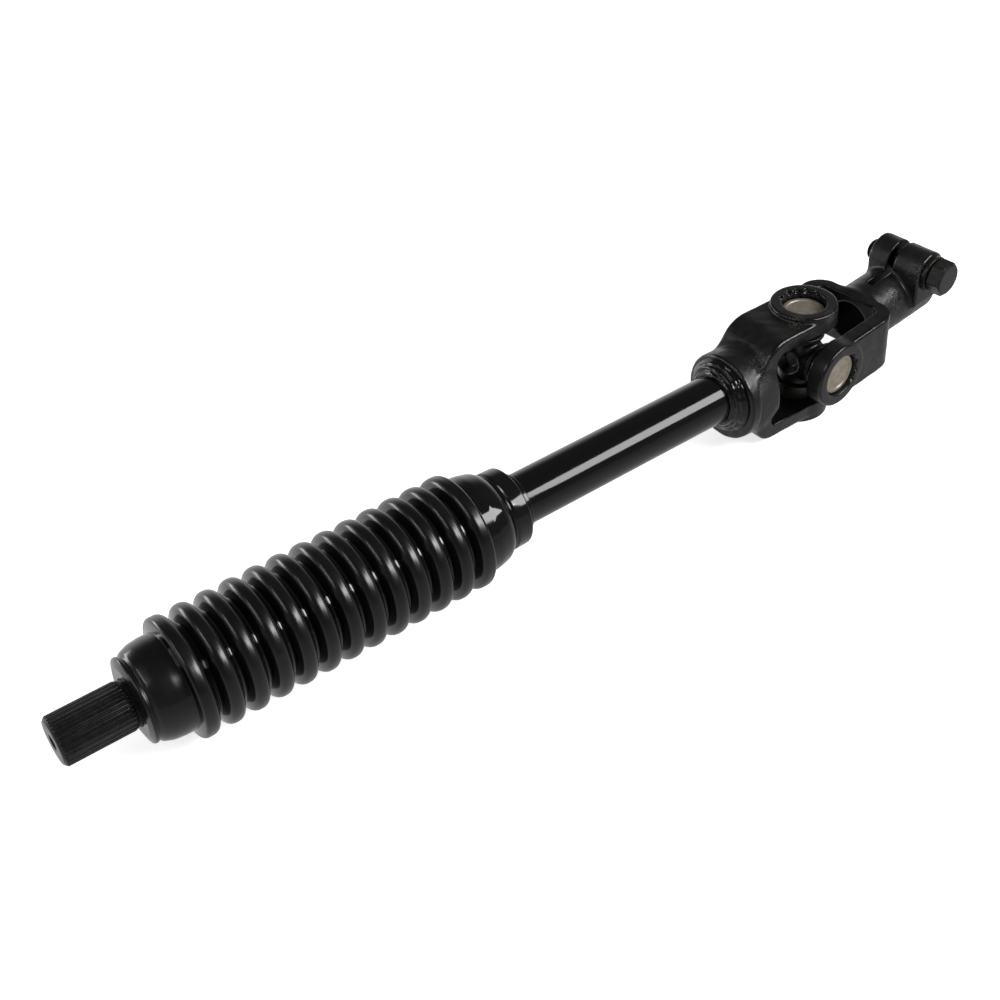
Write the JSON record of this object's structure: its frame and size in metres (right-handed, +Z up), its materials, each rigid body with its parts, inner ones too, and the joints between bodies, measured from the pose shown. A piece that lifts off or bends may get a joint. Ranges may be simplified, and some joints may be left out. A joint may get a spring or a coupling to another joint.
{
  "type": "intermediate steering shaft",
  "caption": "Telescoping steering shaft with a splined end, a bellows boot, a painted tube and a universal joint with a slotted clamp yoke and pinch bolt.",
  "frame": {"origin": "on the ground under the middle of the whole shaft at rest, on the shaft's own centre line in plan", "axes": "+X along the shaft from the splined end to the universal joint, +Z up along the pin axis of the tube yoke, +Y across"},
  "size_m": [0.4378, 0.0506, 0.0557],
  "materials": {
    "black_paint": "semi-gloss black paint on forged steel",
    "gloss_black_paint": "gloss black paint",
    "black_rubber": "smooth glossy black rubber",
    "seal_rubber": "matt black rubber",
    "bright_steel": "bare drawn steel",
    "dark_steel": "dark phosphated steel"
  },
  "bodies": {
    "upper_shaft": {"shaft_tube": "gloss_black_paint", "weld_bead": "gloss_black_paint", "tube_yoke": "black_paint", "boot": "black_rubber", "cup_top": "bright_steel", "cup_bottom": "bright_steel", "seal_top": "seal_rubber", "seal_bottom": "seal_rubber", "needles_top": "bright_steel", "needles_bottom": "bright_steel"},
    "lower_shaft": {"splined_shaft": "dark_steel"},
    "cross": {"spider": "dark_steel"},
    "clamp_end": {"clamp_yoke": "black_paint", "pinch_bolt": "dark_steel", "lock_washer": "dark_steel", "cup_near": "bright_steel", "cup_far": "bright_steel", "seal_near": "seal_rubber", "seal_far": "seal_rubber", "needles_near": "bright_steel", "needles_far": "bright_steel"}
  },
  "joints": [
    {"name": "telescoping_slide", "type": "slide", "parent": "upper_shaft", "child": "lower_shaft", "axis": [1, 0, 0], "range_m": [-0.02, 0.03], "deforming": ["boot"]},
    {"name": "ear_pin_hinge", "type": "hinge", "parent": "upper_shaft", "child": "cross", "pos_m": [0.13757, 0, 0.0273], "axis": [0, 0, 1], "range_deg": [-32, 25]},
    {"name": "clamp_pin_hinge", "type": "hinge", "parent": "cross", "child": "clamp_end", "pos_m": [0.13757, 0, 0.0273], "axis": [0.0715, -0.9974, 0], "range_deg": [-32, 26]}
  ]
}
